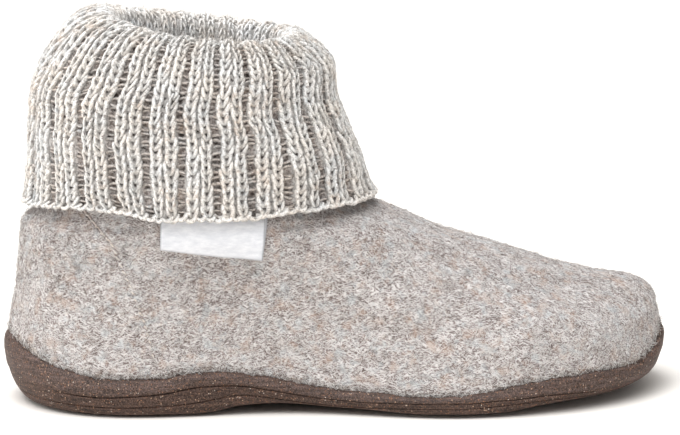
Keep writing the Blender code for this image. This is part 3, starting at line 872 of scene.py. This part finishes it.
# How far the tread stands below the rim of the sole, at stations from the heel back
TREAD_STEP = ((0.0, 1.2), (0.3, 1.3), (0.5, 1.7), (0.75, 1.7), (0.9, 1.4), (1.0, 1.2))
# Unevenness of the lip: waves round the sole, height, and where they start
LIP_WAVES = ((23, 0.20, 1.0), (41, 0.20, 2.3), (67, 0.18, 0.4), (89, 0.16, 3.1))
# Rows of the sole from under its middle round to the floor of the cup, and where its upper band lies in them
SOLE_ROWS = 2 * len(SHRINK) + len(SOLE_SIDE) + CUP_ROWS
BAND_LOW = (len(SHRINK) + [row[0] for row in SOLE_SIDE].index("band") - 1.2) / (SOLE_ROWS - 1)
BAND_HIGH = (len(SHRINK) + len(SOLE_SIDE)) / (SOLE_ROWS - 1)


def shrunk(ring, share):
    """Ring drawn in towards the line along its middle."""
    middle = (ring + np.roll(ring[::-1], 1, axis=0)) / 2
    return middle + (ring - middle) * share


def make_sole():
    along = turns(ROUND)[0]
    step = smooth(*zip(*UPPER_LINE), along)
    low = smooth(*zip(*LOWER_LINE), along)
    tread = sole_line("tread", along)
    high = sole_line("lip", along) - tread
    rim = smooth(*zip(*TREAD_STEP), along) / high
    lines = {"tread": 0 * step, "rim": rim, "low": low, "between": (low + step) / 2,
             "step": step, "band": (1 + step) / 2, "lip": 0 * step + 1}
    angle = np.arange(ROUND) * 2 * math.pi / ROUND
    uneven = sum(size * np.sin(count * angle + start) for count, size, start in LIP_WAVES)
    skin = rings_at(LAST, np.linspace(LIP_LEVEL, SEAT_LEVEL, CUP_ROWS))
    lip = skin[0]
    around = np.roll(lip, -1, axis=0) - np.roll(lip, 1, axis=0)
    square = unit(np.stack([around[:, 1], -around[:, 0]], axis=1))
    side = []
    for line, shift, proud, cut in SOLE_SIDE:
        share = np.clip(lines[line] + shift, 0, 1)
        if cut:
            proud = proud - cut * smooth(*zip(*PRESSED[line]), along)
        inset = sole_line("tuck", along) * (1 - np.sqrt(1 - (1 - share) ** 2)) - proud
        flat = lip[:, :2] + square * (GAP + LIP_WALL - inset)[:, None]
        side.append(np.column_stack([flat, tread + share * high + (line == "lip") * uneven]))
    cup = list(skin + GAP * outward(skin))
    cup[0][:, 2] = side[-1][:, 2]
    cup[-1] = cup[-1] - np.array([0.0, 0.0, GAP])
    under = [shrunk(side[0], share) for share in SHRINK]
    floor = [shrunk(cup[-1], share) for share in SHRINK[::-1]]
    rows = np.array(under + side + cup + floor)
    sole = piece("rubber_sole", draped(metres(rows)), rubber_shade())
    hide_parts("sole")
    cut_grooves(sole)


def cut_grooves(sole):
    """Plain grooves across the heel and forefoot treads."""
    cutter = bmesh.new()
    for first, count, long in GROOVE_RUNS:
        for i in range(count):
            bar = bmesh.ops.create_cube(cutter, size=1.0)["verts"]
            bmesh.ops.scale(cutter, verts=bar, vec=Vector((GROOVE_WIDE, long, 2 * GROOVE_DEEP)) * MM)
            along = (first + i * GROOVE_PITCH - LENGTH / 2) * MM
            bmesh.ops.translate(cutter, verts=bar, vec=(along, 0.0, 0.0))
    bars = placed("groove_bars", meshed("groove_bars", cutter))
    cut = sole.modifiers.new("grooves", "BOOLEAN")
    cut.operation = "DIFFERENCE"
    cut.solver = "EXACT"
    cut.object = bars
    grooved = worked_out(sole)
    sole.modifiers.clear()
    plain = sole.data
    sole.data = grooved
    bpy.data.meshes.remove(plain)
    bpy.data.objects.remove(bars)
    grooved.name = "rubber_sole"
    grooved.set_sharp_from_angle(angle=math.radians(50))


# Felt insole
def make_insole():
    shade = felt_shade("insole_felt", rgb(0.56, 0.52, 0.50), rgb(0.42, 0.375, 0.35), 0.7)
    floor = sole_line("seat", turns(ROUND)[0])
    edge = -FELT_WALL - GAP
    skin = rings_at(LAST, np.linspace(SEAT_LEVEL, INSOLE_LEVEL, 3))
    skin = skin + edge * outward(skin)
    low = np.column_stack([skin[0][:, :2], floor])
    high = np.column_stack([skin[2][:, :2], floor + INSOLE_THICK])
    side = [low + (high - low) * share for share in (0.0, 0.3, 0.6, 0.85)]
    rounded = [shrunk(high, 0.995) - [0, 0, 0.15]]
    top = [shrunk(high, share) for share in SHRINK[::-1]]
    rows = [shrunk(low, share) for share in SHRINK] + side + rounded + top
    insole = piece("felt_insole", draped(metres(np.array(rows))), shade)
    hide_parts("insole")


# Rib-knit cuff
CUFF = np.array([cuff_ring(row) for row in CUFF_RINGS])
cuff_skin, cuff_rise, cuff_levels = even_rows(CUFF, 0.0, len(CUFF) - 1.0, CUFF_ROWS)
cuff_out = outward(cuff_skin)
rib_lean = random.uniform(0, 2 * math.pi, (RIBS, 3))
# Way up the knit ground, which runs down again behind: courses over all of it, where the loops open in them,
# and the share of it where the inside of the cuff begins
COURSES_TO_RUN = (BACKING_ROWS + BACKING_ROWS // 4) / (BACKING_ROWS - 1) * cuff_rise / COURSE
LOOP_OPEN = HEM_BAND / COURSE + 0.05
INSIDE_LOW = RIM_RISE / COURSE / COURSES_TO_RUN


def leaned(round_share, up):
    """Place round the cuff once the ribs' lean is taken off."""
    lean = sample(np.array(RIB_LEAN)[..., None], round_share, up / LEAN_RISE)[..., 0]
    return round_share - lean / RIBS


def on_cuff(rib, across, up, out):
    """Points of the knit: a rib, mm across from its middle, mm up from the hem and mm out."""
    round_share = leaned((rib + 0.5 + RIB_PHASE + across / RIB_WIDE) / RIBS, up)
    up_share = up / cuff_rise
    return sample(cuff_skin, round_share, up_share) + sample(cuff_out, round_share, up_share) * out[..., None]


def waver(rib, up):
    """How far a rib wanders sideways on its way up, mm."""
    lean = rib_lean[rib % RIBS]
    return (0.30 * np.sin(up / 5.2 + lean[..., 0]) + 0.22 * np.sin(up / 2.9 + lean[..., 1])) * ease(up / 14)


def rib_drop(across, up):
    """How far the knit falls away from the rib's crown towards the gap; less inside the cuff."""
    inside = ease((up - RIM_RISE) / 8)
    return RIB_FALL * ease((np.abs(across) - RIB_CROWN) / RIB_SHOULDER) * (1 - 0.75 * inside)


def make_backing(shade):
    """Knit ground behind the stitches, doubled over at the rim."""
    shares = np.linspace(0, 1, BACKING_ROWS)
    round_share = np.arange(BACKING_ROUND) / BACKING_ROUND
    u, v = np.meshgrid(round_share, shares)
    rib = np.floor(u * RIBS - RIB_PHASE).astype(int)
    across = (u * RIBS - RIB_PHASE - rib - 0.5) * RIB_WIDE
    deep = -0.65 - 1.4 * rib_drop(across, v * cuff_rise)
    walls = smooth(np.arange(len(CUFF_RINGS)), [row[-1] for row in CUFF_RINGS], cuff_levels)
    wall = np.interp(shares, np.linspace(0, 1, CUFF_ROWS), walls)
    u = leaned(u, v * cuff_rise)
    skin, out = sample(cuff_skin, u, v), sample(cuff_out, u, v)
    front = skin + out * deep[..., None]
    back = (skin - out * wall[:, None, None])[::-4]
    rows = np.concatenate([front, back, front[:1]])
    backing = piece("knit_ground", draped(metres(rows)), shade)
    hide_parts("cuff")


# One arm of a stitch, from the bottom of its loop to where the next loop covers it: mm across, courses up,
# mm out, and thickness as a share
ARM = (
    (0.15, -0.64, -1.10, 0.0), (0.25, -0.60, -0.95, 0.75), (0.72, -0.36, -0.45, 0.92),
    (1.25, -0.04, -0.20, 1.0), (1.56, 0.32, -0.12, 1.0), (1.60, 0.66, -0.28, 1.0),
    (1.46, 1.00, -0.85, 0.85), (1.42, 1.06, -1.00, 0.0),
)
YARN = 0.86


def leg(hand):
    """One arm of a looped stitch."""
    across, along, out, swell = np.array(ARM).T
    path = np.stack([hand * across, COURSE * along, out], axis=1)
    return tube(path, swell, (YARN, YARN), 6)


def stitch_places(first_course):
    """Jittered places of stitches course by course, two wales to a rib."""
    def place(shape):
        copy = np.arange(len(shape))
        wale, course = copy % (2 * RIBS), first_course + copy // (2 * RIBS)
        rib = wale // 2
        size = jitter(copy, 0.09, 1.0)
        turn = jitter(copy, 0.11)
        x = shape[..., 0] * size + shape[..., 1] * turn
        y = shape[..., 1] - shape[..., 0] * turn
        middle = (wale % 2 - 0.5) * WALE_WIDE
        up = (HEM_BAND + (course + 0.4) * COURSE)[:, None] + y + jitter(copy, 0.24)
        across = middle[:, None] + x + jitter(copy, 0.15)
        across = across * (1 + RIB_SPREAD * ease((up - 12) / 50))
        out = shape[..., 2] - rib_drop(across, up) + jitter(copy, 0.14) + 0.1
        return on_cuff(rib[:, None], across + waver(rib[:, None], up), up, out)
    return place


def make_stitches(name, first, end, shade):
    laid(name, joined(leg(-1), leg(1)), (end - first) * 2 * RIBS, stitch_places(first), shade)


BARS = 4                        # bars across a gap in three courses


def make_ladders(name, first, end, shade):
    """Short uneven bars across the gaps between the ribs."""
    share = np.array([-0.02, 0.0, 0.25, 0.5, 0.75, 1.0, 1.02])
    ends = (2 * share - 1) ** 2
    path = np.stack([(share - 0.5) * 4.4, 0.5 * (1 - ends), -1.45 - 0.5 * ends], axis=1)
    base = tube(path, blunt(share), (0.64, 0.50), 4)

    def place(shape):
        copy = np.arange(len(shape))
        rib, bar = copy % RIBS, first * BARS // 3 + copy // RIBS
        flip = np.where(random.random(len(copy)) < 0.7, 1.0, -1.0)[:, None]
        turn = jitter(copy, 0.16, 0.03)
        up = (HEM_BAND - 1.0 + bar * COURSE * 3 / BARS)[:, None] + flip * shape[..., 1] + shape[..., 0] * turn
        across = flip * shape[..., 0] - RIB_WIDE / 2 + jitter(copy, 0.2)
        out = shape[..., 2] + jitter(copy, 0.35, -0.05)
        return on_cuff(rib[:, None], across + waver(rib[:, None], up), up + jitter(copy, 0.40), out)

    laid(name, base, (end - first) * BARS // 3 * RIBS, place, shade)


def make_hem(shade):
    """Chain of small slanting stitches cast off along the hem."""
    links = 96
    share = np.array([-0.02, 0.0, 0.16, 0.32, 0.5, 0.68, 0.84, 1.0, 1.02])
    clear = np.clip(share, 0, 1)
    arch = np.sin(math.pi * clear)
    rise = 1.3 - 1.6 * arch ** 0.8 + 1.1 * clear
    path = np.stack([(share - 0.5) * 4.7, rise, -1.3 + 1.3 * arch ** 0.55], axis=1)
    base = tube(path, blunt(share), (0.90, 0.78), 8)

    def place(shape):
        copy = np.arange(len(shape))
        turn = jitter(copy, 0.12)
        x = shape[..., 0] * jitter(copy, 0.12, 1.0) + shape[..., 1] * turn
        around = copy[:, None] * (RIBS * RIB_WIDE / links) + x + jitter(copy, 0.25)
        up = shape[..., 1] - shape[..., 0] * turn + jitter(copy, 0.20)
        out = shape[..., 2] + 0.25 + jitter(copy, 0.15)
        points = on_cuff(np.zeros_like(around, int), around, np.maximum(up, 0.0), out)
        points[..., 2] += np.minimum(up, 0.0)
        return points

    laid("knit_hem", base, links, place, shade)


def make_fuzz():
    count = 12500
    shade = yarn_shade("wool_fuzz", rgb(0.93, 0.91, 0.89), rgb(0.72, 0.69, 0.66), rgb(0.45, 0.41, 0.38))
    rib = random.integers(0, RIBS, count)
    across = random.uniform(-5.6, 5.6, count)
    at_rim = np.arange(count) < count // 5
    near_rim = random.normal(RIM_RISE - 2, 6.0, count)
    up = np.where(at_rim, near_rim, random.uniform(0.0, cuff_rise * 0.8, count))
    roots = on_cuff(rib, across, up, -0.2 - rib_drop(across, up))
    ways = sample(cuff_out, (rib + 0.5 + RIB_PHASE + across / RIB_WIDE) / RIBS, up / cuff_rise)
    lengths = random.uniform(1.5, 4.0, count)
    lift = np.abs(random.normal(0.0, np.where(at_rim, 0.55, 0.30), count))
    laid("knit_fuzz", hair_shape(), count,
         lambda shape: bent_hairs(shape, roots, ways, any_way(ways), lengths, lift, 0.06), shade)


# Side tab
def make_tab():
    """Blank tape folded once at the bottom, both ends caught under the hem."""
    columns, rows = 41, 26
    across = np.linspace(0, 1, columns)
    x = TAB_LEFT + (TAB_RIGHT - TAB_LEFT) * across
    fold = TAB_FOLD_LEFT + 1.9 + (TAB_FOLD_RIGHT - TAB_FOLD_LEFT - 1.3) * across
    strip = []
    # Shares of the way up from the fold and mm out from the felt, down the back leaf and up the front one
    for share, out in [(s, 0.55) for s in np.linspace(1, 0.08, rows)] + [
            (0.04, 0.62), (0.012, 0.82), (0.0, 1.05), (0.012, 1.28), (0.04, 1.46)] + [
            (s, 1.5) for s in np.linspace(0.08, 1, rows)]:
        bow = 0.25 * math.sin(math.pi * share) * np.sin(math.pi * across) if out > 1 else 0 * across
        stand = (1.9 + 0.6 * ease((across - 0.8) / 0.2)) * (1 - share) ** 2 * (1.0 if out > 1 else 0.8)
        leaf = x + (1.3 * share * across if out < 0.6 else 0.0) - (0.5 + 0.6 * across) * (1 - share)
        points, _ = on_outer_side(leaf, fold + (TAB_TOP - fold) * share, out + bow + stand)
        strip.append(points)
    strip = np.array(strip)
    tab = piece("tab_tape", draped(metres(strip), wrap=False), tab_shade())
    thick = tab.modifiers.new("thick", "SOLIDIFY")
    thick.thickness = TAB_CLOTH * MM
    thick.offset = 0.0
    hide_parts("side_tab")


# Seam of the heel quarter
def make_seam():
    shade = yarn_shade("seam_thread", rgb(0.84, 0.79, 0.75), rgb(0.70, 0.62, 0.57), rgb(0.5, 0.42, 0.38))
    count = 22
    share = np.array([-0.03, 0.0, 0.3, 0.5, 0.7, 1.0, 1.03])
    path = np.stack([0 * share, (share - 0.5) * 1.9, 0.18 - 1.3 * (share - 0.5) ** 2], axis=1)
    base = tube(path, blunt(share), (0.42, 0.34), 6)
    line = np.array(SEAM)
    run = run_along(line)

    def place(shape):
        at = (np.arange(len(shape)) + 0.5) * run[-1] / len(shape)
        x = np.interp(at, run, line[:, 0])
        z = np.interp(at, run, line[:, 1])
        ahead = np.stack([np.interp(at + 1, run, line[:, 0]) - np.interp(at - 1, run, line[:, 0]),
                          np.interp(at + 1, run, line[:, 1]) - np.interp(at - 1, run, line[:, 1])], axis=1)
        turn = np.arctan2(ahead[:, 1], ahead[:, 0])[:, None] - math.pi / 2 + 0.5
        dx = shape[..., 0] * np.cos(turn) - shape[..., 1] * np.sin(turn)
        dz = shape[..., 0] * np.sin(turn) + shape[..., 1] * np.cos(turn)
        flat_x, flat_z = (x[:, None] + dx).ravel(), (z[:, None] + dz).ravel()
        points, _ = on_outer_side(flat_x, flat_z, shape[..., 2].ravel())
        return points.reshape(shape.shape)

    laid("seam_stitches", base, count, place, shade)


# Floor, light and camera
# Soft lamps: name, place and width in m, and watts
LAMPS = (("top", (-0.5, -0.25, 2.0), 1.6, 27.5), ("left", (-1.3, -0.9, 1.4), 1.2, 6.4),
         ("front", (-0.2, -1.3, 1.8), 1.3, 13.8), ("low", (-1.3, -0.2, 0.3), 0.6, 3.4),
         ("toe", (1.2, -0.9, 0.25), 0.7, 1.1))
# Where the camera looks, its turn and rise in degrees, how far off it stands, and its lens
CAMERA_AIM = (0.0012, 0.0, 0.0713)
CAMERA_TURN, CAMERA_RISE, CAMERA_FAR = -4.5, 12.2, 2.2
PICTURE_WIDE, FOCAL_PIXELS, SENSOR = 680.0, 5533.0, 36.0


def make_stage():
    sheet = bmesh.new()
    bmesh.ops.create_grid(sheet, x_segments=8, y_segments=8, size=6.0)
    floor = placed("floor", meshed("floor", sheet))
    shade = new_shade("floor_paper", 0.9, specular=0.0)
    where = object_place(shade)
    tone = blend(grain(where, 40.0), rgb(0.975, 0.945, 0.905), rgb(0.985, 0.955, 0.915))
    wire(tone, surface_of(shade), "Base Color")
    floor.data.materials.append(shade)
    world = bpy.data.worlds.new("studio")
    world.use_nodes = True
    along, _, up = parted(add("ShaderNodeTexCoord", {}, world.node_tree).outputs["Generated"])
    glow = between(up, 0.0, 0.9, 0.08, 1.08)
    glow = times(glow, between(along, -0.2, 0.8, 1.0, 0.6))
    backdrop = world.node_tree.nodes["Background"]
    wire(glow, backdrop, "Strength")
    backdrop.inputs["Color"].default_value = rgb(1.0, 0.995, 0.985)
    bpy.context.scene.world = world
    for name, place, size, watts in LAMPS:
        lamp = bpy.data.lights.new(name, "AREA")
        lamp.size = size
        lamp.energy = watts
        light = placed(name, lamp)
        light.location = place
        light.rotation_euler = (Vector((0.0, 0.0, 0.06)) - Vector(place)).to_track_quat("-Z", "Y").to_euler()


def make_camera():
    azimuth, elevation = math.radians(CAMERA_TURN), math.radians(CAMERA_RISE)
    back = Vector((math.sin(azimuth) * math.cos(elevation), -math.cos(azimuth) * math.cos(elevation),
                   math.sin(elevation)))
    lens = bpy.data.cameras.new("camera")
    lens.sensor_width = SENSOR
    lens.lens = FOCAL_PIXELS / PICTURE_WIDE * SENSOR
    camera = placed("camera", lens)
    camera.location = Vector(CAMERA_AIM) + back * CAMERA_FAR
    camera.rotation_euler = (-back).to_track_quat("-Z", "Y").to_euler()
    bpy.context.scene.camera = camera


def main():
    make_camera()
    make_stage()
    bpy.context.scene.view_settings.view_transform = "Standard"
    make_upper()
    make_felt_hairs()
    make_sole()
    make_insole()
    # Where a yarn has a crest value, it sets the painted highlight on its strand tops and the painted shade
    # on their flanks.
    wool = yarn_shade("marled_wool", rgb(0.95, 0.937, 0.922), rgb(0.71, 0.685, 0.66),
                      rgb(0.27, 0.235, 0.215), painted_crest_light=0.20)
    # Paler copy of the wool inside the cuff: painted light, so the shaded inside shows as bright as the
    # outside.
    inner_wool_painted_light = yarn_shade("inner_wool_painted_light", rgb(0.985, 0.975, 0.965), rgb(0.95, 0.935, 0.92),
                            rgb(0.30, 0.265, 0.245), painted_crest_light=0.06)
    ladder = yarn_shade("ladder_wool", rgb(0.72, 0.67, 0.635), rgb(0.48, 0.43, 0.40),
                        rgb(0.18, 0.145, 0.13), painted_crest_light=0.25)
    # Dark ground wool: painted shade in the gaps between the ribs, behind the ladder bars.
    ground = yarn_shade("ground_wool_and_shade", rgb(0.52, 0.465, 0.44), rgb(0.34, 0.295, 0.275),
                        rgb(0.11, 0.088, 0.08), ribbed=True)
    make_backing(ground)
    make_stitches("knit_ribs", 0, RIM_FIRST, wool)
    make_stitches("knit_rim", RIM_FIRST, INSIDE_FIRST, wool)
    make_stitches("knit_inside", INSIDE_FIRST, LAST_COURSE, inner_wool_painted_light)
    make_ladders("knit_ladders", 0, INSIDE_FIRST, ladder)
    make_ladders("inner_ladders", INSIDE_FIRST, LAST_COURSE, inner_wool_painted_light)
    make_hem(wool)
    make_fuzz()
    make_tab()
    make_seam()


main()
